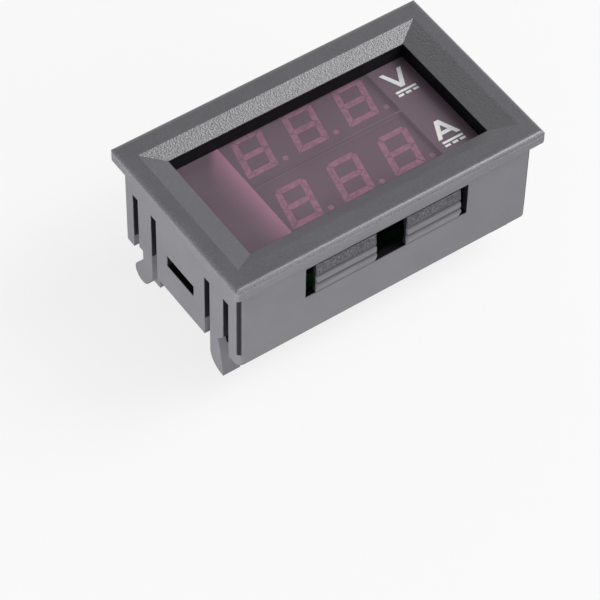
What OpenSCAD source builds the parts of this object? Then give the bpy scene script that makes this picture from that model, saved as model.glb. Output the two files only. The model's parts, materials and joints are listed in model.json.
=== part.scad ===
/* [Bezel] */
// Length of the rim, left to right
bezel_length = 48; // [44:0.5:72]
// Height of the rim as the display is read
bezel_height = 29; // [27:0.5:44]
// Thickness of the rim that lies on the panel
rim_thickness = 1.9; // [1:0.1:3]
// Flat border between the rim's edge and the bevel at the short sides
rim_border = 2.2; // [1.5:0.05:5]
// Flat border between the rim's edge and the bevel at the long sides
rim_side_border = 3; // [1.5:0.05:5]
// Rounding along the rim's front edge
rim_round = 0.8; // [0.2:0.05:1]
// Rounding of the rim's four corners
rim_corner = 0.6; // [0.4:0.1:1.5]
// How far the bevel runs inward at the short sides
bevel_run = 3.35; // [1:0.05:4]
// How far the bevel runs inward at the long sides
bevel_side_run = 2.2; // [1:0.05:4]
// How deep the bevel sinks
bevel_depth = 1.2; // [0.5:0.1:2]
// Straight wall between the bevel and the filter
bevel_lip = 2.4; // [0.6:0.1:2.6]

/* [Body] */
// Depth from the front of the rim to the rear edge of the walls
body_depth = 16.7; // [14:0.1:28]
// How far the hooks reach behind the walls
hook_reach = 5.5; // [4.8:0.1:8]
// Overhang of the rim at each short side
overhang_end = 1.05; // [0.8:0.05:3]
// Overhang of the rim at each long side
overhang_side = 1.2; // [0.8:0.05:3]
// Thickness of the walls
wall = 1.15; // [0.8:0.05:1.4]
// Rounding of the upright corners
body_corner = 0.9; // [0.4:0.1:1.1]
// How far the middle panel of a short side reaches behind the walls
tongue_drop = 1.1; // [0:0.1:2]

/* [Spring flaps] */
// Distance between the outer ends of the two flaps of a side
flap_span = 22.5; // [14:0.1:24]
// Sideways place of the two flaps in their window
flap_place = 0.1; // [-0.8:0.05:0.8]
// Gap between the two flaps
flap_gap = 4.9; // [3:0.1:8]
// Sideways place of that gap
gap_place = 0.5; // [-2:0.05:2]
// Space at the outer end of each flap
flap_end_gap = 1.45; // [1:0.05:2]
// Depth from the front of the rim to the window's front edge
window_top = 4.2; // [4:0.05:6]
// Height of the window along the body's depth
window_height = 5.55; // [4:0.05:6]
// How far a flap stands out of the wall
flap_bulge = 0.5; // [0.3:0.05:1]
// Thickness of a flap
flap_thickness = 0.9; // [0.6:0.05:1.2]
// Distance between the two grooves of a flap
groove_pitch = 1.35; // [0.8:0.05:1.5]
// Depth of a groove
groove_depth = 0.28; // [0.1:0.02:0.36]

/* [Latches] */
// Width of a latch arm
arm_width = 3; // [2:0.1:4]
// Width of the corner post outside each latch
corner_post = 2.25; // [1.6:0.05:4]
// Width of the slots beside an arm
slot_width = 1.25; // [0.8:0.05:1.5]
// Depth from the front of the rim to the start of the slots
slot_top = 6.35; // [5:0.05:8]
// Radius of the rounded barb on an upper latch
barb_radius = 1.6; // [1.2:0.1:1.8]
// Depth of the hollow in the outer edge of a latch
hollow_depth = 0.85; // [0.3:0.05:1.2]
// Height of the thick foot of a lower latch
foot_height = 5.2; // [4.6:0.05:5.4]
// How far that foot reaches inward from the wall
foot_reach = 1.5; // [0.8:0.1:2]
// How far the catch reaches inward
catch_reach = 1.8; // [1.3:0.05:2.2]
// Thickness of the catch behind the board
catch_thickness = 1.9; // [1:0.1:2.4]
// Thickness of the rib that carries the catch
catch_rib = 1.1; // [0.8:0.1:1.4]
// Length of the vent in each short side
vent_length = 6.2; // [4:0.1:8]
// Height of that vent
vent_height = 2; // [1:0.1:3]
// Depth from the front of the rim to that vent
vent_top = 10.8; // [9:0.1:12]

/* [Filter] */
// Thickness of the red filter
filter_thickness = 0.6; // [0.4:0.1:1]
// How far the filter reaches under the bezel on each side
filter_lap = 0.7; // [0.4:0.05:1.2]
// Clearance around the filter in its seat
filter_play = 0.1; // [0.05:0.05:0.3]
// Thickness of the frame that holds the filter
filter_frame = 0.8; // [0.5:0.1:1]

/* [Displays] */
// Length of a three digit display
display_length = 23.5; // [20:0.5:26]
// Height of a display
display_height = 10; // [9:0.1:10.4]
// Depth of a display's case
display_depth = 7.9; // [6:0.1:8.4]
// Gap between the two displays
display_gap = 0.2; // [0.1:0.1:3]
// Sideways place of the displays
display_shift = 0.9; // [-2:0.05:2]
// How far the two displays sit above the middle
display_rise = 1.5; // [0:0.05:2]
// Height of a digit
digit_height = 6.7; // [6:0.1:7.4]
// Width of a digit
digit_width = 4.7; // [3.6:0.1:4.8]
// Distance between digits
digit_pitch = 8; // [7.6:0.05:8.2]
// Width of a segment
segment_width = 0.9; // [0.6:0.05:1.1]
// Gap between segments
segment_gap = 0.1; // [0.08:0.02:0.2]
// Slant of the digits in degrees
digit_slant = 12; // [0:1:12]
// Diameter of a decimal point
point_diameter = 0.8; // [0.6:0.1:1]
// Distance between neighbouring display pins
pin_pitch = 2.54; // [2.3:0.02:2.6]
// Distance between the two rows of display pins
pin_rows = 8; // [7:0.1:8.4]
// Pins in one row
pins_per_row = 6; // [4:1:6]
// Diameter of a display pin
pin_diameter = 0.5; // [0.4:0.05:0.6]

/* [Circuit board] */
// Thickness of the board
board_thickness = 1.6; // [1.2:0.1:2]
// Space between the displays and the board
display_standoff = 0.9; // [0.7:0.05:3]
// Clearance between the board and the walls
board_play = 0.35; // [0.2:0.05:0.6]
// Side of the notch at each corner of the board
board_notch = 1.5; // [1:0.1:2]
// Clearance between a hole and its pin
hole_play = 0.1; // [0.05:0.05:0.2]
// Diameter of a solder joint
solder_diameter = 1.5; // [1:0.1:1.9]
// Height of a solder joint
solder_height = 0.6; // [0.4:0.1:1]

/* [Connectors] */
// Distance between connector pins
socket_pitch = 2; // [2:0.1:2.5]
// Depth of a connector across its row of pins
socket_depth = 4.5; // [4:0.1:5]
// Height of a connector from the board
socket_height = 6; // [4:0.1:6.4]
// Wall of a connector
socket_wall = 0.6; // [0.4:0.05:0.8]
// Side of a square connector pin
blade = 0.5; // [0.4:0.05:0.6]
// Place of the connectors left and right of the middle
socket_place = 13; // [12:0.5:14]

/* [Trimmers] */
// Side of a trimmer
trimmer_side = 3.6; // [3:0.1:4.4]
// Height of a trimmer's case
trimmer_height = 1.5; // [1.2:0.1:2]
// Diameter of the turning disc
disc_diameter = 2.7; // [2:0.1:3]
// Thickness of the turning disc
disc_thickness = 0.8; // [0.6:0.1:1]
// Clearance between the disc and its case
disc_play = 0.06; // [0.03:0.01:0.1]
// Distance between the two trimmers
trimmer_pitch = 7; // [5:0.5:9]

/* [Hidden] */

$fn = 32;
fine = 0.01;

// levels, measured from the resting plane behind the hooks
total_depth = body_depth + hook_reach;
face_z = total_depth;
wall_z = face_z - body_depth;
filter_front_z = face_z - bevel_depth - bevel_lip;
filter_rear_z = filter_front_z - filter_thickness;
plate_backing = 0.8;
plate_z = face_z - rim_thickness - plate_backing;
display_play = 0.1;
display_front_z = filter_rear_z - display_play;
display_rear_z = display_front_z - display_depth;
display_pitch = display_height + display_gap;
board_front_z = display_rear_z - display_standoff;
board_rear_z = board_front_z - board_thickness;
window_z = face_z - window_top - window_height;
slot_z = face_z - slot_top;
arm_share = 0.9;
arm_bottom_z = hook_reach * arm_share;
hollow_top_z = board_rear_z - catch_thickness / 2;
foot_z = 0.35;

body_length = bezel_length - 2 * overhang_end;
body_height = bezel_height - 2 * overhang_side;
arm_offset = body_height / 2 - corner_post - slot_width - arm_width / 2;
inner_length = body_length - 2 * wall;
inner_height = body_height - 2 * wall;
view_length = bezel_length - 2 * (rim_border + bevel_run);
view_height = bezel_height - 2 * (rim_side_border + bevel_side_run);
seat_length = view_length + 2 * filter_lap;
seat_height = view_height + 2 * filter_lap;
board_length = inner_length - 2 * board_play;
board_height = inner_height - 2 * board_play;

plastic = [0.2, 0.2, 0.21];
red_filter = [0.35, 0.08, 0.12];
display_grey = [0.45, 0.42, 0.43];
display_pink = [0.75, 0.6, 0.62];
metal = [0.75, 0.75, 0.77];
board_green = [0.05, 0.25, 0.12];
nylon = [0.9, 0.88, 0.82];
black = [0.06, 0.06, 0.07];

module rounded_rect(length, height, radius) {
  square([length - 2 * radius, height], center = true);
  square([length, height - 2 * radius], center = true);
  for (x = [-1, 1], y = [-1, 1])
    translate([x * (length / 2 - radius), y * (height / 2 - radius)])
      circle(radius);
}

module rounded_front(length, height, radius) {
  translate([-length / 2, 0])
    square([length, height - radius]);
  translate([-length / 2 + radius, 0])
    square([length - 2 * radius, height]);
  for (x = [-1, 1])
    translate([x * (length / 2 - radius), height - radius])
      circle(radius);
}

module block(size) {
  translate([-size[0] / 2, -size[1] / 2, 0])
    cube(size);
}

// a tapered opening, wide at the front
module funnel(length, height, run, side_run, depth) {
  l = length / 2;
  h = height / 2;
  polyhedron(
    points = [
      [-l + run, -h + side_run, 0], [l - run, -h + side_run, 0],
      [l - run, h - side_run, 0], [-l + run, h - side_run, 0],
      [-l, -h, depth], [l, -h, depth], [l, h, depth], [-l, h, depth]
    ],
    faces = [
      [0, 1, 2, 3], [7, 6, 5, 4], [0, 4, 5, 1],
      [1, 5, 6, 2], [2, 6, 7, 3], [3, 7, 4, 0]
    ]
  );
}

// the rim with its rounded front edge
module rim() {
  translate([0, 0, face_z - rim_thickness])
    intersection() {
      linear_extrude(rim_thickness)
        rounded_rect(bezel_length, bezel_height, rim_corner);
      translate([0, bezel_height / 2 + 1, 0])
        rotate([90, 0, 0])
          linear_extrude(bezel_height + 2)
            rounded_front(bezel_length, rim_thickness, rim_round);
      translate([-bezel_length / 2 - 1, 0, 0])
        rotate([90, 0, 90])
          linear_extrude(bezel_length + 2)
            rounded_front(bezel_height, rim_thickness, rim_round);
    }
}

module body_shell() {
  difference() {
    translate([0, 0, wall_z])
      linear_extrude(body_depth - rim_thickness / 2)
        rounded_rect(body_length, body_height, body_corner);
    translate([0, 0, wall_z - 1])
      block([inner_length, inner_height, plate_z - wall_z + 1]);
  }
}

// the frame behind the opening, which holds the filter
module filter_seat() {
  around = 2 * (filter_lap + filter_frame);
  translate([0, 0, filter_rear_z])
    block([view_length + around, view_height + around, plate_z - filter_rear_z + fine]);
}

module view_opening() {
  translate([0, 0, face_z - bevel_depth])
    funnel(
      bezel_length - 2 * rim_border,
      bezel_height - 2 * rim_side_border,
      bevel_run,
      bevel_side_run,
      bevel_depth + fine
    );
  translate([0, 0, filter_rear_z])
    block([view_length, view_height, face_z - filter_rear_z]);
  translate([0, 0, filter_rear_z - 1])
    block([seat_length, seat_height, filter_thickness + 1]);
}

// the two spring flaps and the window they stand in
module flap_window() {
  translate([0, -body_height / 2 + wall / 2, window_z])
    block([flap_span + 2 * flap_end_gap, wall * 2 + 1, window_height]);
}

// a flap leans outward from its flush front edge to a crest near its root
module flap_profile() {
  crest = window_height * 0.27;
  slit = 0.12;
  top = window_height - slit;
  flush = 0.05;
  first_groove = 0.6;
  lean = (flap_bulge - flush) / (top - crest);
  difference() {
    polygon([
      [-flap_thickness, -0.3], [0, -0.3], [0, 0],
      [flap_bulge, crest], [flush, top],
      [flush - flap_thickness, top], [flap_bulge - flap_thickness, crest]
    ]);
    for (rise = [first_groove, first_groove + groove_pitch])
      translate([flap_bulge - lean * rise, crest + rise])
        rotate(45)
          square(groove_depth * sqrt(2), center = true);
  }
}

module flap(from, to) {
  translate([from, -body_height / 2, window_z])
    rotate([90, 0, 90])
      linear_extrude(to - from)
        mirror([1, 0])
          flap_profile();
}

module flap_pair() {
  flap(flap_place - flap_span / 2, gap_place - flap_gap / 2);
  flap(gap_place + flap_gap / 2, flap_place + flap_span / 2);
}

// the arm below the slots, straight on its inner edge
module arm_strip() {
  translate([-arm_width / 2, arm_bottom_z])
    square([arm_width, slot_z - arm_bottom_z + fine]);
}

// an upper latch ends in a rounded barb that leans outward below a hollow
module upper_outline() {
  half = arm_width / 2;
  barb_lean = 0.45;
  middle = half - barb_lean;
  inside = barb_radius * 0.97;
  upper_angle = 20;
  lower_angle = 50;
  difference() {
    arm_strip();
    translate([half - hollow_depth, 0])
      square([hollow_depth + 1, hollow_top_z]);
  }
  translate([middle, barb_radius])
    circle(barb_radius);
  polygon([
    [-half, arm_bottom_z + fine], [half - hollow_depth, arm_bottom_z + fine],
    [middle + inside * cos(upper_angle), barb_radius + inside * sin(upper_angle)],
    [middle - inside * cos(lower_angle), barb_radius - inside * sin(lower_angle)],
    [-half, arm_bottom_z * 0.58]
  ]);
}

// a lower latch ends in a rounded toe, with a hollow in its outer edge
module lower_outline() {
  half = arm_width / 2;
  toe = arm_width * 0.87;
  hollow_rise = 1.4;
  tip_height = 0.3;
  difference() {
    union() {
      arm_strip();
      intersection() {
        translate([-half, 0])
          square([arm_width, arm_bottom_z + fine]);
        union() {
          translate([toe - half, toe])
            circle(toe);
          translate([-half, toe])
            square([arm_width, arm_bottom_z - toe + 1]);
        }
      }
    }
    polygon([
      [half + 1, hollow_top_z + hollow_rise], [half, hollow_top_z + hollow_rise],
      [half - hollow_depth * 1.4, hollow_top_z], [half - hollow_depth, foot_height],
      [half, tip_height], [half + 1, tip_height]
    ]);
  }
}

// the thick foot of a lower latch
module foot_outline() {
  intersection() {
    lower_outline();
    translate([-arm_width, 0])
      square([2 * arm_width, foot_height]);
  }
}

// a latch arm with the catch that holds the board
module latch(upper) {
  side = upper ? 1 : -1;
  rib_margin = 0.3;
  rib_width = arm_width - hollow_depth - rib_margin;
  catch_width = upper ? arm_width : arm_width * 0.4;
  translate([-body_length / 2, side * arm_offset, 0])
    scale([1, side, 1]) {
      rotate([90, 0, 90])
        linear_extrude(wall)
          if (upper)
            upper_outline();
          else
            lower_outline();
      translate([wall - fine, -arm_width / 2, board_rear_z - catch_thickness])
        cube([catch_reach, catch_width, catch_thickness]);
      if (upper)
        translate([wall - fine, -arm_width / 2, foot_z])
          cube([catch_rib, rib_width, board_rear_z - foot_z - fine]);
      else
        translate([wall - fine, 0, 0])
          rotate([90, 0, 90])
            linear_extrude(foot_reach)
              foot_outline();
    }
}

// the slots that free a latch arm from the wall
module arm_slots() {
  for (y = [-1, 1], s = [-1, 1])
    translate([
      -body_length / 2 - 1,
      y * arm_offset + s * (arm_width + slot_width) / 2 - slot_width / 2,
      -1
    ])
      cube([wall + 1.5, slot_width, slot_z + 1]);
}

module arm_clear() {
  for (y = [-1, 1])
    translate([-body_length / 2 - 1, y * arm_offset - arm_width / 2, -1])
      cube([wall + 1.5, arm_width, slot_z + 1]);
}

module vent() {
  translate([-body_length / 2 - 1, -vent_length / 2, face_z - vent_top - vent_height])
    cube([wall + 2, vent_length, vent_height]);
}

module tongue() {
  width = 2 * arm_offset - arm_width - 2 * slot_width;
  translate([-body_length / 2, -width / 2, wall_z - tongue_drop])
    cube([wall, width, tongue_drop + fine]);
}

// the ribs that the board seats against, one in each inner corner
module seat_ribs() {
  bearing = 0.6;
  rib = board_notch + board_play + bearing;
  for (x = [-1, 1], y = [-1, 1])
    translate([
      x * (inner_length / 2 - rib / 2 + fine),
      y * (inner_height / 2 - rib / 2 + fine),
      board_front_z
    ])
      block([rib, rib, plate_z - board_front_z + fine]);
}

module both_ends() {
  children();
  mirror([1, 0, 0])
    children();
}

module both_sides() {
  children();
  mirror([0, 1, 0])
    children();
}

module housing() {
  color(plastic) {
    difference() {
      union() {
        rim();
        body_shell();
        filter_seat();
        seat_ribs();
      }
      view_opening();
      both_sides()
        flap_window();
      both_ends() {
        arm_slots();
        arm_clear();
        vent();
      }
    }
    both_sides()
      flap_pair();
    both_ends() {
      tongue();
      latch(true);
      latch(false);
    }
  }
}

module filter_lens() {
  color(red_filter)
    translate([0, 0, filter_rear_z])
      block([seat_length - 2 * filter_play, seat_height - 2 * filter_play, filter_thickness]);
}

// the thin gaps where three segments meet at the middle of a digit's side
module middle_gaps() {
  for (a = [0, 135, 225])
    rotate(a)
      translate([segment_width * 0.4, 0])
        square([segment_width * 0.85, segment_gap], center = true);
}

module digit() {
  half_x = digit_width / 2;
  half_y = digit_height / 2;
  chamfer = segment_width * 0.7;
  difference() {
    polygon([
      [-half_x, -half_y], [half_x, -half_y],
      [half_x, half_y - chamfer], [half_x - chamfer, half_y],
      [-half_x + chamfer, half_y], [-half_x, half_y - chamfer]
    ]);
    for (y = [-1, 1])
      translate([0, y * (half_y - segment_width / 2) / 2])
        square([digit_width - 2 * segment_width, half_y - 1.5 * segment_width], center = true);
    for (x = [-1, 1], y = [-1, 1])
      translate([x * (half_x - segment_width / 2), y * (half_y - segment_width / 2)])
        rotate(45 * x * y)
          square([segment_width * 1.6, segment_gap], center = true);
    for (x = [-1, 1])
      translate([x * (half_x - segment_width / 2), 0])
        rotate(x > 0 ? 0 : 180)
          middle_gaps();
  }
}

module display_pattern() {
  for (i = [-1 : 1])
    translate([i * digit_pitch, 0]) {
      multmatrix([[1, tan(digit_slant), 0, 0], [0, 1, 0, 0], [0, 0, 1, 0], [0, 0, 0, 1]])
        digit();
      translate([digit_width / 2 + 0.6, -(digit_height - point_diameter) / 2])
        circle(d = point_diameter, $fn = 16);
    }
}

pocket = 0.4;
recess = 0.6;
recess_frame = 1;
recess_side_frame = 2;

module at_display(row) {
  translate([display_shift, display_rise + row * display_pitch / 2, 0])
    children();
}

module display_case(row) {
  color(display_grey)
    at_display(row)
      difference() {
        translate([0, 0, display_rear_z])
          block([display_length, display_height, display_depth]);
        translate([0, 0, display_front_z - pocket])
          linear_extrude(pocket + 1)
            display_pattern();
        translate([0, 0, display_rear_z - 1])
          block([
            display_length - 2 * recess_frame,
            display_height - 2 * recess_side_frame,
            recess + 1
          ]);
      }
}

module display_segments(row) {
  color(display_pink)
    at_display(row)
      translate([0, 0, display_front_z - pocket])
        linear_extrude(pocket)
          display_pattern();
}

module pin_places() {
  for (y = [-1, 1], i = [0 : pins_per_row - 1])
    translate([(i - (pins_per_row - 1) / 2) * pin_pitch, y * pin_rows / 2, 0])
      children();
}

module display_pins(row) {
  color(metal)
    at_display(row)
      pin_places()
        translate([0, 0, board_rear_z])
          cylinder(d = pin_diameter, h = display_rear_z - board_rear_z, $fn = 16);
}

module at_supply() {
  translate([-socket_place, 0, 0])
    children();
}

module at_shunt() {
  translate([socket_place, 0, 0])
    children();
}

module blade_places(count) {
  for (i = [0 : count - 1])
    translate([(i - (count - 1) / 2) * socket_pitch, 0, 0])
      children();
}

module circuit_board() {
  drill = pin_diameter / 2 + hole_play;
  blade_drill = blade / sqrt(2) + hole_play;
  color(board_green)
    difference() {
      translate([0, 0, board_rear_z])
        block([board_length, board_height, board_thickness]);
      for (x = [-1, 1], y = [-1, 1])
        translate([x * board_length / 2, y * board_height / 2, board_rear_z - 1])
          block([board_notch * 2, board_notch * 2, board_thickness + 2]);
      for (row = [-1, 1])
        at_display(row)
          pin_places()
            translate([0, 0, board_rear_z - 1])
              cylinder(r = drill, h = board_thickness + 2, $fn = 16);
      at_supply()
        blade_places(3)
          translate([0, 0, board_rear_z - 1])
            cylinder(r = blade_drill, h = board_thickness + 2, $fn = 16);
      at_shunt()
        blade_places(2)
          translate([0, 0, board_rear_z - 1])
            cylinder(r = blade_drill, h = board_thickness + 2, $fn = 16);
    }
}

module solder_joints() {
  color(metal) {
    for (row = [-1, 1])
      at_display(row)
        pin_places()
          translate([0, 0, board_rear_z - solder_height])
            cylinder(d1 = 0.6, d2 = solder_diameter, h = solder_height, $fn = 16);
    at_supply()
      blade_places(3)
        translate([0, 0, board_front_z])
          cylinder(d1 = solder_diameter, d2 = 0.7, h = solder_height, $fn = 16);
    at_shunt()
      blade_places(2)
        translate([0, 0, board_front_z])
          cylinder(d1 = solder_diameter, d2 = 0.7, h = solder_height, $fn = 16);
  }
}

// a shrouded socket, open to the rear, with the keying gaps of its long wall
module connector(count) {
  end_room = 1.95;
  length = (count - 1) * socket_pitch + 2 * end_room;
  floor_height = 1.4;
  key_width = 1;
  color(nylon)
    difference() {
      translate([0, 0, board_rear_z - socket_height])
        block([length, socket_depth, socket_height]);
      translate([0, 0, board_rear_z - socket_height - 1])
        block([length - 2 * socket_wall, socket_depth - 2 * socket_wall,
          socket_height - floor_height + 1]);
      for (x = [-1, 1])
        translate([
          x * (length / 2 - socket_wall - 0.7),
          -socket_depth / 2,
          board_rear_z - socket_height - 1
        ])
          block([key_width, 2 * socket_wall + 0.2, socket_height - floor_height]);
      blade_places(count)
        translate([0, 0, board_rear_z - floor_height - 1])
          block([blade, blade, floor_height + 2]);
    }
}

module connector_pins(count) {
  pin_sink = 1.5;
  color(metal)
    blade_places(count)
      translate([0, 0, board_rear_z - socket_height + pin_sink])
        block([blade, blade, socket_height - pin_sink + board_thickness]);
}

disc_sink = 0.55;
stem_radius = 0.5;

// the trimmers sit between the pin rows of the upper display
module at_trimmer(side) {
  at_display(1)
    translate([side * trimmer_pitch / 2, 0, board_rear_z - trimmer_height])
      children();
}

module trimmer_case(side) {
  color(nylon)
    at_trimmer(side)
      difference() {
        block([trimmer_side, trimmer_side, trimmer_height]);
        translate([0, 0, -1])
          cylinder(d = disc_diameter + 2 * disc_play, h = disc_sink + 1);
        cylinder(r = stem_radius + disc_play, h = trimmer_height - 0.2);
      }
}

module trimmer_screw(side) {
  top = disc_sink - disc_thickness;
  color(metal)
    at_trimmer(side)
      difference() {
        union() {
          translate([0, 0, top])
            cylinder(d = disc_diameter, h = disc_thickness - 0.03);
          cylinder(r = stem_radius, h = trimmer_height - 0.3);
        }
        for (a = [0, 90])
          rotate(a)
            translate([0, 0, top - 1])
              block([disc_diameter * 0.72, 0.4, 1.35]);
        translate([disc_diameter / 2, 0, top - 1])
          block([0.5, 0.5, 2]);
      }
}

// a chip whose leads stand on the board's rear face
lead_drop = 0.15;

module chip(size) {
  color(black)
    translate([0, 0, board_rear_z - size[2] - lead_drop])
      difference() {
        block(size);
        translate([-size[0] / 2 + 0.8, -size[1] / 2 + 0.8, -1])
          cylinder(r = 0.3, h = 1.08, $fn = 16);
      }
}

module lead_profile(span, body, height) {
  foot = 0.6;
  sheet = 0.15;
  mid = height / 2;
  polygon([
    [body, -mid - sheet / 2], [span - foot, -mid - sheet / 2],
    [span - foot, -sheet], [span, -sheet], [span, 0],
    [span - foot - sheet, 0], [span - foot - sheet, -mid + sheet / 2],
    [body, -mid + sheet / 2]
  ]);
}

module lead_row(count, pitch, width, span, body, height) {
  for (i = [0 : count - 1], s = [0, 180])
    rotate(s)
      translate([(i - (count - 1) / 2) * pitch - width / 2, 0, board_rear_z])
        rotate([90, 0, 90])
          linear_extrude(width)
            lead_profile(span, body, height);
}

controller_size = [6.5, 4.4, 1];
amplifier_size = [4.9, 3.9, 1.4];
regulator_size = [4.5, 2.5, 1.5];
diode_size = [4.3, 2.6, 2];
chip_gap = 0.8;

// the two chips sit between the pin rows of the lower display
module at_controller() {
  at_display(-1)
    translate([-(amplifier_size[0] + chip_gap) / 2, 0, 0])
      children();
}

module at_amplifier() {
  at_display(-1)
    translate([(controller_size[0] + chip_gap) / 2, 0, 0])
      children();
}

module at_regulator() {
  translate([-socket_place, -socket_depth / 2 - 4.6, 0])
    children();
}

module at_diode() {
  translate([-socket_place, socket_depth / 2 + 4, 0])
    children();
}

module controller_chip() {
  at_controller()
    chip(controller_size);
}

module controller_leads() {
  color(metal)
    at_controller()
      lead_row(10, 0.65, 0.25, 3.2, controller_size[1] / 2, controller_size[2] + lead_drop);
}

module amplifier_chip() {
  at_amplifier()
    chip(amplifier_size);
}

module amplifier_leads() {
  color(metal)
    at_amplifier()
      lead_row(4, 1.27, 0.4, 3, amplifier_size[1] / 2, amplifier_size[2] + lead_drop);
}

module voltage_regulator() {
  color(black)
    at_regulator()
      translate([0, 0, board_rear_z - regulator_size[2]])
        block(regulator_size);
}

module regulator_leads() {
  color(metal)
    at_regulator() {
      for (x = [-1.5, 0, 1.5])
        translate([x, -regulator_size[1] / 2 - 0.4, board_rear_z - 0.4])
          block([0.5, 0.8, 0.4]);
      translate([0, regulator_size[1] / 2 + 0.3, board_rear_z - 0.4])
        block([1.7, 0.6, 0.4]);
    }
}

module supply_diode() {
  color(black)
    at_diode()
      translate([0, 0, board_rear_z - diode_size[2] - 0.2])
        block(diode_size);
}

module diode_leads() {
  color(metal)
    at_diode()
      for (s = [-1, 1])
        translate([s * 2, 0, board_rear_z - 0.2])
          block([1.6, 1.4, 0.2]);
}

module chip_part(size) {
  translate([0, 0, board_rear_z - size[2]])
    block(size);
}

resistor_size = [1.6, 0.85, 0.5];
capacitor_size = [2, 1.25, 0.9];
row_step = 1.8;

module chip_resistors() {
  color(black)
    for (x = [-1, 1], i = [0 : 2])
      translate([
        socket_place + x * 1.4,
        socket_depth / 2 + 1.6 + i * row_step,
        0
      ])
        chip_part(resistor_size);
}

module chip_capacitors() {
  color([0.6, 0.5, 0.35])
    for (i = [0 : 2])
      translate([socket_place, -socket_depth / 2 - 1.8 - i * row_step, 0])
        chip_part(capacitor_size);
}

housing();
filter_lens();
display_case(1);  // volts_display_case
display_segments(1);  // volts_display_segments
display_pins(1);  // volts_display_pins
display_case(-1);  // amps_display_case
display_segments(-1);  // amps_display_segments
display_pins(-1);  // amps_display_pins
circuit_board();
solder_joints();
at_supply() connector(3);  // supply_connector
at_supply() connector_pins(3);  // supply_connector_pins
at_shunt() connector(2);  // shunt_connector
at_shunt() connector_pins(2);  // shunt_connector_pins
trimmer_case(-1);  // volts_trimmer_case
trimmer_screw(-1);  // volts_trimmer_screw
trimmer_case(1);  // amps_trimmer_case
trimmer_screw(1);  // amps_trimmer_screw
controller_chip();
controller_leads();
amplifier_chip();
amplifier_leads();
voltage_regulator();
regulator_leads();
supply_diode();
diode_leads();
chip_resistors();
chip_capacitors();
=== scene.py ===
import json
import math

import bmesh
import bpy
from mathutils import Matrix, Vector


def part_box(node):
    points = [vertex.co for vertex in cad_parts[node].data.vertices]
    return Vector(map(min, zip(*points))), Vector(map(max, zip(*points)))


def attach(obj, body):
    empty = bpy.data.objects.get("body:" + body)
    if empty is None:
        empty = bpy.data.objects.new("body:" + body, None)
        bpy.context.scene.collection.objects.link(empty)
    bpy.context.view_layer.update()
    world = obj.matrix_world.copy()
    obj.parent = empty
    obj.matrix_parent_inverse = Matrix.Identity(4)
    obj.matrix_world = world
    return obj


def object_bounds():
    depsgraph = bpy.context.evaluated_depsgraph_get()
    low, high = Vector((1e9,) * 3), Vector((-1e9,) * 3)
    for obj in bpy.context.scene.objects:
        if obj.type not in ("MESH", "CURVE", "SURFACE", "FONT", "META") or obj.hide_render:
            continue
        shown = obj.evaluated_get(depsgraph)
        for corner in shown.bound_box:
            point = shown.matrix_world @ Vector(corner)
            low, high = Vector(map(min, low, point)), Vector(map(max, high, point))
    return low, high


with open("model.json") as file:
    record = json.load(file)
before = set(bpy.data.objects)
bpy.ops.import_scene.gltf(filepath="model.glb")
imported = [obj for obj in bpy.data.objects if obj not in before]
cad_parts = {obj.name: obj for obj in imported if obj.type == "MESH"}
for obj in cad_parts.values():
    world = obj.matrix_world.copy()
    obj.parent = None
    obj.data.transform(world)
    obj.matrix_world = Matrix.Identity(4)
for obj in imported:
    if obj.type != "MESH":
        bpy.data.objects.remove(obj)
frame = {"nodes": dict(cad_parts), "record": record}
cad_box = [list(v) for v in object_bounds()]
MM = 0.001


def link_object(name, data):
    obj = bpy.data.objects.new(name, data)
    bpy.context.scene.collection.objects.link(obj)
    return obj


# ---------------------------------------------------------------- camera
# The photo's camera, fitted to the bezel.
CAMERA_PLACE = Vector((-0.159648, -0.216890, 0.321228))
CAMERA_RIGHT = Vector((0.82182299, -0.56958746, 0.01330798))
CAMERA_DOWN = Vector((-0.43536711, -0.64288874, -0.63019802))
LENS_MM, SENSOR_MM = 188.711, 36
CLIP_NEAR, CLIP_FAR = 0.01, 10


def place_camera():
    data = bpy.data.cameras.new("camera")
    data.sensor_width = SENSOR_MM
    data.lens = LENS_MM
    data.clip_start, data.clip_end = CLIP_NEAR, CLIP_FAR
    camera = link_object("camera", data)
    right = CAMERA_RIGHT.normalized()
    up = (-CAMERA_DOWN).normalized()
    back = right.cross(up).normalized()
    turn = Matrix((right, up, back)).transposed().to_4x4()
    camera.matrix_world = Matrix.Translation(CAMERA_PLACE) @ turn
    bpy.context.scene.camera = camera


place_camera()


# ---------------------------------------------------------------- node helpers
NOISE_LOW, NOISE_HIGH = 0.3, 0.7
EDGE_SAMPLES = 6


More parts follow.
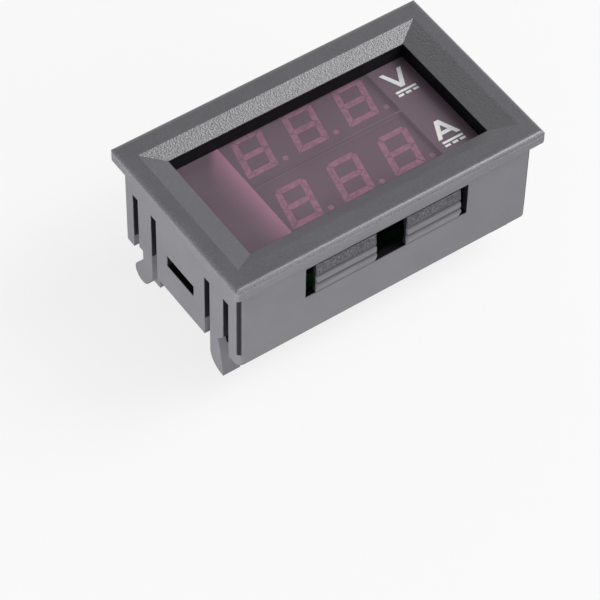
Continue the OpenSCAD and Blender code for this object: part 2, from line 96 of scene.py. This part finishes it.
class Mat:
    """A material with a Principled shader and short calls for its pattern nodes."""

    def __init__(self, name, **values):
        self.mat = bpy.data.materials.new(name)
        self.mat.use_nodes = True
        self.tree = self.mat.node_tree
        self.bsdf = self.tree.nodes["Principled BSDF"]
        coords = self.tree.nodes.new("ShaderNodeTexCoord")
        self.place = coords.outputs["Object"]
        for key, value in values.items():
            self.bsdf.inputs[key.replace("_", " ")].default_value = value

    def link(self, a, b):
        self.tree.links.new(a, b)

    def feed(self, socket, value):
        """Links a node's output to the socket, or sets the socket to a number or a colour."""
        if isinstance(value, bpy.types.NodeSocket):
            self.link(value, socket)
        elif isinstance(value, (int, float)):
            socket.default_value = value
        else:
            socket.default_value = (*value, 1)

    def noise(self, size, detail=3.0, rough=0.55, stretch=None):
        n = self.tree.nodes.new("ShaderNodeTexNoise")
        n.inputs["Scale"].default_value = 1 / size
        n.inputs["Detail"].default_value = detail
        n.inputs["Roughness"].default_value = rough
        self.link(self.stretched(stretch), n.inputs["Vector"])
        return n.outputs["Fac"]

    def stretched(self, stretch):
        if stretch is None:
            return self.place
        n = self.tree.nodes.new("ShaderNodeMapping")
        n.inputs["Scale"].default_value = stretch
        self.link(self.place, n.inputs["Vector"])
        return n.outputs["Vector"]

    def bond_lines(self, size, brick_width, row_height, line):
        """1 along the lines between the bricks of a running bond, 0 on the bricks."""
        n = self.tree.nodes.new("ShaderNodeTexBrick")
        n.inputs["Scale"].default_value = 1 / size
        n.inputs["Mortar Size"].default_value = line
        n.inputs["Brick Width"].default_value = brick_width
        n.inputs["Row Height"].default_value = row_height
        self.link(self.place, n.inputs["Vector"])
        return n.outputs["Fac"]

    def ramp(self, source, stops):
        n = self.tree.nodes.new("ShaderNodeValToRGB")
        while len(n.color_ramp.elements) < len(stops):
            n.color_ramp.elements.new(0.5)
        for element, (at, colour) in zip(n.color_ramp.elements, stops):
            element.position = at
            element.color = (*colour, 1)
        self.link(source, n.inputs["Fac"])
        return n.outputs["Color"]

    def shades(self, source, dark, light, low=NOISE_LOW, high=NOISE_HIGH):
        """Goes from the dark colour to the light one as the pattern goes from low to high."""
        return self.ramp(source, [(low, dark), (high, light)])

    def level(self, source, low, high, to_low, to_high):
        n = self.tree.nodes.new("ShaderNodeMapRange")
        for key, value in zip(("From Min", "From Max", "To Min", "To Max"), (low, high, to_low, to_high)):
            n.inputs[key].default_value = value
        self.link(source, n.inputs["Value"])
        return n.outputs["Result"]

    def mix(self, amount, a, b, kind="MIX"):
        n = self.tree.nodes.new("ShaderNodeMix")
        n.data_type = "RGBA"
        n.blend_type = kind
        # for colours, a Mix node has its two inputs in the sockets 6 and 7 and its result in output 2
        for socket, value in ((n.inputs["Factor"], amount), (n.inputs[6], a), (n.inputs[7], b)):
            self.feed(socket, value)
        return n.outputs[2]

    def times(self, a, b):
        """The product of two colours."""
        return self.mix(1.0, a, b, "MULTIPLY")

    def mix_value(self, share, a, b):
        """Goes from a at share 0 to b at share 1."""
        return self.maths("ADD", a, self.maths("MULTIPLY", share, self.maths("SUBTRACT", b, a)))

    def maths(self, kind, a, b):
        n = self.tree.nodes.new("ShaderNodeMath")
        n.operation = kind
        self.feed(n.inputs[0], a)
        self.feed(n.inputs[1], b)
        return n.outputs[0]

    def product(self, first, *factors):
        """The product of masks and numbers."""
        for factor in factors:
            first = self.maths("MULTIPLY", first, factor)
        return first

    def inverse(self, mask):
        """1 where the mask is 0, and 0 where it is 1."""
        return self.maths("SUBTRACT", 1.0, mask)

    def axis(self, name):
        n = self.tree.nodes.new("ShaderNodeSeparateXYZ")
        self.link(self.place, n.inputs[0])
        return n.outputs[name]

    def within(self, axis, low, high, soft):
        """1 where the coordinate lies between low and high, falling to 0 over the length soft."""
        rise = self.level(self.axis(axis), low - soft / 2, low + soft / 2, 0.0, 1.0)
        fall = self.level(self.axis(axis), high - soft / 2, high + soft / 2, 1.0, 0.0)
        return self.maths("MULTIPLY", rise, fall)

    def region(self, box, soft):
        """1 inside a box of (low, high) pairs for X, Y and Z."""
        return self.product(*[self.within(a, low, high, soft) for a, (low, high) in zip("XYZ", box)])

    def bump(self, height, depth, strength=1.0, edge=0.0, below=None):
        """Relief of a depth, over the normal below, or over edges rounded by the radius edge."""
        n = self.tree.nodes.new("ShaderNodeBump")
        n.inputs["Strength"].default_value = strength
        n.inputs["Distance"].default_value = depth
        self.link(height, n.inputs["Height"])
        if below is not None:
            self.link(below, n.inputs["Normal"])
        elif edge:
            b = self.tree.nodes.new("ShaderNodeBevel")
            b.samples = EDGE_SAMPLES
            b.inputs["Radius"].default_value = edge
            self.link(b.outputs[0], n.inputs["Normal"])
        return n.outputs["Normal"]

    def colour(self, source):
        self.link(source, self.bsdf.inputs["Base Color"])

    def rough(self, source):
        self.link(source, self.bsdf.inputs["Roughness"])

    def rough_between(self, source, smooth, coarse):
        """Roughness that follows a noise from smooth to coarse."""
        self.rough(self.level(source, NOISE_LOW, NOISE_HIGH, smooth, coarse))

    def normal(self, source):
        self.link(source, self.bsdf.inputs["Normal"])


# ---------------------------------------------------------------- places on the object
FAR = 1
HALF_LENGTH, HALF_HEIGHT, FRONT = cad_box[1]
BOARD_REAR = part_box("circuit_board")[0][2]
VOLTS_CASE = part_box("volts_display_case")
CASE_LEFT, CASE_RIGHT = VOLTS_CASE[0][0], VOLTS_CASE[1][0]
CASE_LOW, CASE_SEAM, CASE_HIGH = -8.4 * MM, 1.5 * MM, 11.4 * MM
SEAM_HALF = 0.2 * MM
RIM_ROUND, RIM_DEPTH = 0.8 * MM, 0.7 * MM
BEVEL_X, BEVEL_Y = HALF_LENGTH - 2 * MM, HALF_HEIGHT - 2.8 * MM
BEVEL_FOOT, BEVEL_TOP = FRONT - 1.3 * MM, FRONT - 0.03 * MM
WALL_X, WALL_Y, WALL_SKIN = 22.95 * MM, 13.3 * MM, 0.08 * MM
INSIDE_TOP = FRONT - 1.22 * MM
FLAP_LOW, FLAP_HIGH = FRONT - 9.95 * MM, FRONT - 4.2 * MM
FLAP_LEFT, FLAP_RIGHT, FLAP_DEPTH = -11.2 * MM, 11.4 * MM, 0.8 * MM
GRIT_LOW = FLAP_LOW + 3.6 * MM
GROOVES = (FRONT - 9.7 * MM, FRONT - 7.65 * MM, FRONT - 6.3 * MM)
GROOVE_HALF = 0.16 * MM


def both(size):
    return (-size, size)


def bevel_mask(m):
    """The slopes of the display frame."""
    return m.region((both(BEVEL_X), both(BEVEL_Y), (BEVEL_FOOT, BEVEL_TOP)), soft=0.02 * MM)


def rounding_mask(m):
    """The rounded outer edge of the rim."""
    flat = m.region((both(HALF_LENGTH - RIM_ROUND), both(HALF_HEIGHT - RIM_ROUND), (0, FAR)), soft=0.3 * MM)
    return m.product(m.within("Z", FRONT - RIM_DEPTH, FAR, soft=0.2 * MM), m.inverse(flat))


def inside_shade_mask(m):
    """What lies within the walls' outer skin, from the board's rear to the foot of the bevel: where shade
    falls inside the case, painted dark.
    """
    return m.region((both(WALL_X - WALL_SKIN), both(WALL_Y - WALL_SKIN), (BOARD_REAR, INSIDE_TOP)), WALL_SKIN)


def flap_mask(m):
    """The spring flaps of the two long walls."""
    upright = m.within("Z", FLAP_LOW, FLAP_HIGH, soft=0.1 * MM)
    along = m.within("X", FLAP_LEFT, FLAP_RIGHT, soft=0.1 * MM)
    between_flaps = m.within("Y", *both(WALL_Y - FLAP_DEPTH), soft=0.05 * MM)
    return m.product(upright, along, m.inverse(between_flaps))


def groove_shade_mask(m):
    """The level lines of a flap, its root and its grooves, where painted shade goes."""
    lines = 0.0
    for z in GROOVES:
        lines = m.maths("MAXIMUM", lines, m.within("Z", z - GROOVE_HALF, z + GROOVE_HALF, soft=0.2 * MM))
    return lines


# ---------------------------------------------------------------- materials
PLASTIC_DARK, PLASTIC_LIGHT = (0.130, 0.128, 0.140), (0.146, 0.144, 0.157)
SPECK_DARK, SPECK_LIGHT = (0.86, 0.86, 0.86), (1.14, 1.14, 1.14)
GRIT_DARK, GRIT_LIGHT = (0.16, 0.16, 0.17), (0.72, 0.72, 0.75)
# painted shade: the flaps' grooves and root are coloured near black where shade falls in them
GROOVE_PAINTED_SHADE, GROOVE_COVER = (0.03, 0.03, 0.032), 0.95
# painted shade: the inside of the case and the lip walls are coloured near black where shade falls
INSIDE_PAINTED_SHADE = (0.012, 0.011, 0.013)
SHINE, INSIDE_SHINE, EDGE_SHINE = 0.5, 0.1, 0.5
BEVEL_POLISH, RIM_POLISH = 0.15, 0.22
BEVEL_COAT, BEVEL_COAT_ROUGH = 0.5, 0.4
FLAP_RELIEF = 0.5
LENS_DARK, LENS_LIGHT = (0.162, 0.118, 0.146), (0.182, 0.134, 0.164)
LENS_COVER, DIGIT_COVER = 0.98, 0.3
# painted light: the lens colour grows lighter from the left of the displays to their right
LEFT_PAINTED_LIGHT, RIGHT_PAINTED_LIGHT, DIGIT_TINT = 0.98, 1.17, 0.74
# painted light: the pink of the display case's lit left side, painted on the lens beside the digits
PAINTED_SIDE_GLOW_PINK, BAND_WIDTH, BAND_FALL = (0.43, 0.225, 0.32), 4.6 * MM, 1.7
BAND_SLANT, BAND_TIP, BAND_GAP = 1.4, 1.6 * MM, 0.1 * MM
# painted light and shade: the left side lit pink, darkening towards the board, and the other sides near black
CASE_LIT_SIDE_PINK, CASE_SIDE_SHADE, CASE_SHADED_SIDES = (0.62, 0.24, 0.40), (0.01, 0.004, 0.006), (0.03, 0.018, 0.022)
PINK_DEPTH, PINK_HALFWAY = 7.5 * MM, 0.25
PRINT_DEPTH, SIDE_DEPTH = 0.05 * MM, 0.15 * MM
PRINT_DARK, PRINT_LIGHT = (0.006, 0.003, 0.005), (0.010, 0.006, 0.008)
SEGMENT_DARK, SEGMENT_LIGHT = (0.36, 0.08, 0.16), (0.66, 0.22, 0.36)
BOARD_DARK, BOARD_LIGHT, TRACK_GREEN = (0.012, 0.105, 0.035), (0.02, 0.14, 0.05), (0.022, 0.155, 0.055)
INK_DARK, INK_LIGHT = (0.9, 0.9, 0.9), (0.97, 0.97, 0.97)


def plastic_colour(m, grain, sand, inside, flap):
    """Speckled grey, gritty and darker on the upper part of the flaps, with painted shade in their grooves
    and on the inside.
    """
    base = m.shades(m.noise(6 * MM, detail=4), PLASTIC_DARK, PLASTIC_LIGHT)
    plain = m.times(base, m.shades(grain, SPECK_DARK, SPECK_LIGHT, low=0.4, high=0.64))
    gritty = m.times(plain, m.shades(sand, GRIT_DARK, GRIT_LIGHT, low=0.38, high=0.62))
    upper = m.within("Z", GRIT_LOW, FLAP_HIGH, soft=0.5 * MM)
    # the upper part of each flap is coloured darker and speckled
    upper_flaps_darker = m.mix(m.product(flap, upper), plain, gritty)
    # painted shade in the grooves and at the root of the flaps
    groove_shaded = m.mix(m.product(flap, groove_shade_mask(m), GROOVE_COVER), upper_flaps_darker, GROOVE_PAINTED_SHADE)
    # painted shade: near-black colour inside the case
    return m.mix(inside, groove_shaded, INSIDE_PAINTED_SHADE)


def housing_plastic():
    """Dark grey moulded plastic: a grained bevel, a polished rounding along the rim and rough flaps."""
    m = Mat("housing_plastic", IOR=1.5, Coat_Roughness=BEVEL_COAT_ROUGH)
    grain = m.noise(0.14 * MM, detail=4, rough=0.65)
    sand = m.noise(0.26 * MM, detail=2, rough=0.6)
    bevel, rounding, inside, flap = bevel_mask(m), rounding_mask(m), inside_shade_mask(m), flap_mask(m)
    m.colour(plastic_colour(m, grain, sand, inside, flap))
    polish = m.maths("ADD", m.product(bevel, BEVEL_POLISH), m.product(rounding, RIM_POLISH))
    m.rough(m.maths("SUBTRACT", m.level(grain, 0.35, 0.65, to_low=0.46, to_high=0.58), polish))
    edge_shine = m.product(m.maths("MAXIMUM", bevel, rounding), EDGE_SHINE)
    # less shine inside the case, along with its painted shade
    shine = m.maths("ADD", m.level(inside, 0.0, 1.0, SHINE, INSIDE_SHINE), edge_shine)
    m.link(shine, m.bsdf.inputs["Specular IOR Level"])
    m.link(m.product(bevel, BEVEL_COAT), m.bsdf.inputs["Coat Weight"])
    relief = m.product(sand, m.maths("MAXIMUM", bevel, m.product(flap, FLAP_RELIEF)))
    coarse = m.bump(relief, depth=0.075 * MM, edge=0.1 * MM)
    m.link(coarse, m.bsdf.inputs["Coat Normal"])
    m.normal(m.bump(grain, depth=0.014 * MM, strength=0.8, below=coarse))
    return m.mat


def digit_mask(m):
    """The lens over the two displays, but not over the seam between them."""
    displays = m.region(((CASE_LEFT, CASE_RIGHT), (CASE_LOW, CASE_HIGH), both(FAR)), soft=0.3 * MM)
    seam = m.within("Y", CASE_SEAM - SEAM_HALF, CASE_SEAM + SEAM_HALF, soft=0.1 * MM)
    return m.product(displays, m.inverse(seam))


def painted_side_glow_mask(m):
    """A band beside the left digits that fades to the left and ends in a slanting tip: the lit pink side of
    the display case, painted onto the lens.
    """
    near = m.level(m.axis("X"), CASE_LEFT - BAND_WIDTH, CASE_LEFT, 0.0, 1.0)
    rise = m.maths("SUBTRACT", m.axis("Y"), m.maths("MULTIPLY", m.axis("X"), BAND_SLANT))
    tip = CASE_HIGH - BAND_SLANT * CASE_LEFT
    below_tip = m.level(rise, tip - BAND_TIP, tip, 1.0, 0.0)
    left_of_case = m.within("X", -FAR, CASE_LEFT - BAND_GAP, soft=0.15 * MM)
    return m.product(m.maths("POWER", near, BAND_FALL), below_tip, left_of_case)


def filter_acrylic():
    """A smoked sheet: see-through over the digits, nearly opaque around them, painted lighter towards the
    right, with the lit side of the display case painted pink beside the left ones.
    """
    m = Mat("filter_acrylic", IOR=1.49)
    haze = m.noise(9 * MM, detail=2)
    clear = digit_mask(m)
    cover = m.level(clear, 0.0, 1.0, LENS_COVER, DIGIT_COVER)
    m.link(cover, m.bsdf.inputs["Alpha"])
    # painted light: lighter towards the right
    around = m.level(m.axis("X"), CASE_LEFT, CASE_RIGHT, LEFT_PAINTED_LIGHT, RIGHT_PAINTED_LIGHT)
    # painted light: the lit side of the display case is painted pink onto the lens
    tint = m.mix(painted_side_glow_mask(m), m.shades(haze, LENS_DARK, LENS_LIGHT), PAINTED_SIDE_GLOW_PINK)
    m.colour(m.times(tint, m.maths("DIVIDE", m.mix_value(clear, around, DIGIT_TINT), cover)))
    wipe = m.noise(2.2 * MM, detail=3, stretch=(1, 0.35, 1))
    m.rough_between(wipe, 0.08, 0.16)
    m.normal(m.bump(haze, depth=0.02 * MM, strength=0.25))
    return m.mat


def display_body():
    """A resin case printed dark on its face. Its left side is painted as a lit pink face with painted shade
    darkening it towards the board; its other sides are painted near black, as in shade.
    """
    low, high = VOLTS_CASE
    m = Mat("display_body", IOR=1.48, Specular_IOR_Level=0.15)
    grain = m.noise(0.3 * MM, detail=3)
    face = m.within("Z", high[2] - PRINT_DEPTH, FAR, soft=0.02 * MM)
    left = m.within("X", -FAR, low[0] + SIDE_DEPTH, soft=0.1 * MM)
    # painted shade on the left side, darker towards the board
    forward = m.level(m.axis("Z"), high[2] - PINK_DEPTH, high[2], 0.0, 1.0)
    halfway = tuple(PINK_HALFWAY * v for v in CASE_LIT_SIDE_PINK)
    side = m.ramp(forward, [(0.0, CASE_SIDE_SHADE), (0.5, halfway), (1.0, CASE_LIT_SIDE_PINK)])
    printed = m.shades(grain, PRINT_DARK, PRINT_LIGHT)
    m.colour(m.mix(face, m.mix(left, CASE_SHADED_SIDES, side), printed))
    m.rough_between(grain, 0.45, 0.6)
    m.normal(m.bump(grain, depth=0.01 * MM, strength=0.5, edge=0.08 * MM))
    return m.mat


def segment_resin():
    """Pink resin with a mottled tone."""
    m = Mat("segment_resin", IOR=1.5)
    milk = m.noise(0.7 * MM, detail=3)
    m.colour(m.shades(milk, SEGMENT_DARK, SEGMENT_LIGHT, low=0.36, high=0.62))
    m.rough_between(milk, 0.3, 0.45)
    m.normal(m.bump(milk, depth=0.01 * MM, strength=0.4))
    return m.mat


def board_mask():
    """Green solder mask with a fine weave and faint long tracks."""
    m = Mat("board_mask", IOR=1.5, Coat_Weight=0.4, Coat_Roughness=0.15)
    weave = m.noise(0.35 * MM, detail=2, stretch=(1, 4, 1))
    tracks = m.bond_lines(5.2 * MM, brick_width=1.9, row_height=0.17, line=0.03)
    green = m.shades(m.noise(3 * MM, detail=3), BOARD_DARK, BOARD_LIGHT)
    m.colour(m.mix(tracks, green, TRACK_GREEN))
    m.rough_between(weave, 0.3, 0.42)
    coarse = m.bump(tracks, depth=0.03 * MM, strength=0.6, edge=0.05 * MM)
    m.normal(m.bump(weave, depth=0.01 * MM, strength=0.5, below=coarse))
    return m.mat


def clouded(m, dark, light, smooth, coarse, grain, cloud):
    """Gives m a cloudy colour and a finely grained roughness, and returns the grain for its relief."""
    fine = m.noise(grain * MM, detail=4)
    m.colour(m.shades(m.noise(cloud * MM, detail=3), dark, light))
    m.rough_between(fine, smooth, coarse)
    return fine


def metal(name, dark, light, smooth, coarse, grain=0.25):
    m = Mat(name, Metallic=1.0)
    fine = clouded(m, dark, light, smooth, coarse, grain, cloud=0.8)
    m.normal(m.bump(fine, depth=0.01 * MM, strength=0.6, edge=0.04 * MM))
    return m.mat


def moulded(name, dark, light, smooth, coarse, grain=0.25):
    m = Mat(name, IOR=1.5)
    fine = clouded(m, dark, light, smooth, coarse, grain, cloud=3.0)
    m.normal(m.bump(fine, depth=0.012 * MM, strength=0.7, edge=0.06 * MM))
    return m.mat


def white_ink():
    m = Mat("printed_ink", IOR=1.45)
    thin = m.noise(0.5 * MM, detail=3)
    m.colour(m.shades(thin, INK_DARK, INK_LIGHT))
    m.rough_between(thin, 0.5, 0.65)
    return m.mat


finishes = {
    "housing": housing_plastic(),
    "red_filter": filter_acrylic(),
    "display_case": display_body(),
    "display_segments": segment_resin(),
    "board": board_mask(),
    "solder": metal("solder_tin", (0.66, 0.67, 0.69), (0.82, 0.82, 0.83), 0.18, 0.34),
    "tinned_metal": metal("tinned_metal", (0.62, 0.62, 0.62), (0.76, 0.75, 0.73), 0.25, 0.4),
    "socket_nylon": moulded("socket_nylon", (0.74, 0.71, 0.62), (0.82, 0.8, 0.72), 0.35, 0.5),
    "trimmer_case": moulded("trimmer_case", (0.66, 0.63, 0.55), (0.74, 0.71, 0.63), 0.45, 0.6),
    "screw_metal": metal("screw_metal", (0.66, 0.62, 0.52), (0.78, 0.74, 0.64), 0.22, 0.4, 0.12),
    "chip_epoxy": moulded("chip_epoxy", (0.018, 0.018, 0.019), (0.028, 0.028, 0.03), 0.5, 0.68, 0.12),
    "chip_resistor": moulded("chip_resistor", (0.02, 0.02, 0.022), (0.035, 0.035, 0.037), 0.3, 0.45),
    "chip_capacitor": moulded("chip_capacitor", (0.28, 0.19, 0.11), (0.36, 0.26, 0.16), 0.4, 0.55),
}
slot_of = {s["node"]: s["material_slot"] for s in frame["record"]["subparts"]}
for name, obj in frame["nodes"].items():
    finish = finishes[slot_of[name]]
    if obj.material_slots:
        for slot in obj.material_slots:
            slot.material = finish
    else:
        obj.data.materials.append(finish)


# ---------------------------------------------------------------- printed unit marks
INK_THICKNESS, INK_LIFT = 0.03 * MM, 0.005 * MM
INK_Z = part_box("filter_lens")[1][2] + INK_THICKNESS + INK_LIFT
VOLT_MARK, AMP_MARK = (15.45 * MM, 6.44 * MM), (15.3 * MM, -4.05 * MM)
LETTER_W, LETTER_H, LETTER_T = 3.5 * MM, 3.1 * MM, 0.56 * MM
ARM_T, POINT_T, POINT_HALF = LETTER_T * 1.15, LETTER_T * 1.5, LETTER_T * 0.62
BAR_LOW, BAR_HIGH = LETTER_H * 0.2, LETTER_H * 0.38
BAR_HALF = (LETTER_W / 2 - LETTER_T * 0.9) * 0.62
BAR_TOP_HALF = BAR_HALF * 0.8
SIGN_DROP, SIGN_W, SIGN_T, SIGN_STEP = 2.48 * MM, 3.2 * MM, 0.36 * MM, 0.3 * MM
DASH_W = SIGN_W * 0.26


def outline(bm, points):
    """A thin closed slab of ink over the points, its top at INK_Z."""
    top = [bm.verts.new((x, y, INK_Z)) for x, y in points]
    under = [bm.verts.new((x, y, INK_Z - INK_THICKNESS)) for x, y in points]
    bm.faces.new(top)
    bm.faces.new(under[::-1])
    for i in range(len(points)):
        j = (i + 1) % len(points)
        bm.faces.new((top[i], under[i], under[j], top[j]))


def level_stroke(bm, x, y, width):
    """One level stroke of the direct current sign, centred on x and y."""
    across, up = width / 2, SIGN_T / 2
    outline(bm, [(x - across, y + up), (x - across, y - up), (x + across, y - up), (x + across, y + up)])


def direct_current_sign(bm, x, y):
    level_stroke(bm, x, y + SIGN_STEP, SIGN_W)
    for i in (-1, 0, 1):
        level_stroke(bm, x + i * (SIGN_W - DASH_W) / 2, y - SIGN_STEP, DASH_W)


def letter_v(bm, x, y):
    top, foot, half = y + LETTER_H / 2, y - LETTER_H / 2, LETTER_W / 2
    outline(bm, [(x - POINT_HALF, foot), (x + POINT_HALF, foot), (x + half, top), (x + half - ARM_T, top),
                 (x, foot + POINT_T), (x - half + ARM_T, top), (x - half, top)])


def letter_a(bm, x, y):
    top, foot, half = y + LETTER_H / 2, y - LETTER_H / 2, LETTER_W / 2
    leg = [(half, foot), (half - ARM_T, foot), (0, top - POINT_T), (0, top), (POINT_HALF, top)]
    for side in (-1, 1):
        outline(bm, [(x + side * across, up) for across, up in leg][::side])
    low, high = foot + BAR_LOW, foot + BAR_HIGH
    outline(bm, [(x - BAR_HALF, low), (x + BAR_HALF, low),
                 (x + BAR_TOP_HALF, high), (x - BAR_TOP_HALF, high)])


def unit_mark(name, letter, place, ink):
    x, y = place
    bm = bmesh.new()
    letter(bm, x, y)
    direct_current_sign(bm, x, y - SIGN_DROP)
    bmesh.ops.recalc_face_normals(bm, faces=bm.faces[:])
    mesh = bpy.data.meshes.new(name)
    bm.to_mesh(mesh)
    bm.free()
    obj = link_object(name, mesh)
    mesh.materials.append(ink)
    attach(obj, "meter")


ink = white_ink()
unit_mark("volt_mark", letter_v, VOLT_MARK, ink)
unit_mark("amp_mark", letter_a, AMP_MARK, ink)

# ---------------------------------------------------------------- floor and light
FLOOR_SIDE = 6.0
PAPER_COLOUR, PAPER_GLOW, GLOW_SHARE = (0.86, 0.86, 0.86, 1), 1.0, 0.8
WORLD_COLOUR, WORLD_LEVEL = (1, 1, 1, 1), 0.22
LOW_LAMP_HEIGHT = 0.011


def paper():
    """Diffuse paper that glows in part for camera, glossy and transmission rays only."""
    mat = bpy.data.materials.new("paper")
    mat.use_nodes = True
    tree = mat.node_tree
    tree.nodes.clear()
    out = tree.nodes.new("ShaderNodeOutputMaterial")
    lit = tree.nodes.new("ShaderNodeBsdfDiffuse")
    lit.inputs["Color"].default_value = PAPER_COLOUR
    glow = tree.nodes.new("ShaderNodeEmission")
    glow.inputs["Strength"].default_value = PAPER_GLOW
    path = tree.nodes.new("ShaderNodeLightPath")
    through = tree.nodes.new("ShaderNodeMath")
    through.operation = "MAXIMUM"
    tree.links.new(path.outputs["Is Glossy Ray"], through.inputs[0])
    tree.links.new(path.outputs["Is Transmission Ray"], through.inputs[1])
    seen = tree.nodes.new("ShaderNodeMath")
    seen.operation = "MAXIMUM"
    tree.links.new(path.outputs["Is Camera Ray"], seen.inputs[0])
    tree.links.new(through.outputs[0], seen.inputs[1])
    share = tree.nodes.new("ShaderNodeMath")
    share.operation = "MULTIPLY"
    tree.links.new(seen.outputs[0], share.inputs[0])
    share.inputs[1].default_value = GLOW_SHARE
    blend = tree.nodes.new("ShaderNodeMixShader")
    tree.links.new(share.outputs[0], blend.inputs["Fac"])
    tree.links.new(lit.outputs[0], blend.inputs[1])
    tree.links.new(glow.outputs[0], blend.inputs[2])
    tree.links.new(blend.outputs[0], out.inputs["Surface"])
    return mat


def lay_floor():
    half = FLOOR_SIDE / 2
    corners = [(-half, -half, 0), (half, -half, 0), (half, half, 0), (-half, half, 0)]
    mesh = bpy.data.meshes.new("floor")
    mesh.from_pydata(corners, [], [(0, 1, 2, 3)])
    floor = link_object("floor", mesh)
    mesh.materials.append(paper())


def light_world():
    world = bpy.data.worlds.new("world")
    bpy.context.scene.world = world
    world.use_nodes = True
    background = world.node_tree.nodes["Background"]
    background.inputs["Color"].default_value = WORLD_COLOUR
    background.inputs["Strength"].default_value = WORLD_LEVEL


def soft_box(name, toward, distance, size, radiance, height=None):
    """A rectangle facing the object from a direction. With a height, it stands that high over the floor."""
    data = bpy.data.lights.new(name, "AREA")
    data.shape = "RECTANGLE"
    data.size, data.size_y = size
    data.energy = math.pi * size[0] * size[1] * radiance
    lamp = link_object(name, data)
    place = Vector(toward).normalized() * distance
    lamp.location = place if height is None else (place.x, place.y, height)
    lamp.rotation_mode = "QUATERNION"
    lamp.rotation_quaternion = place.to_track_quat("Z", "Y")


def place_lamps():
    soft_box("key", toward=(0.72, -0.22, 0.66), distance=0.8, size=(0.42, 0.5), radiance=6.4)
    soft_box("glint", toward=(0.37, -0.40, 0.84), distance=0.8, size=(0.28, 0.28), radiance=3.4)
    soft_box("behind", toward=(0.2, 0.85, 0.5), distance=0.6, size=(0.5, 0.3), radiance=0.7)
    soft_box("edge", toward=(0.37, -0.78, 0.51), distance=0.7, size=(0.5, 0.14), radiance=2.4)
    soft_box("low_left", toward=(-0.88, -0.475, 0.0), distance=0.22, size=(0.42, 0.022), radiance=28.5,
             height=LOW_LAMP_HEIGHT)


lay_floor()
light_world()
place_lamps()
bpy.context.scene.view_settings.view_transform = "Standard"
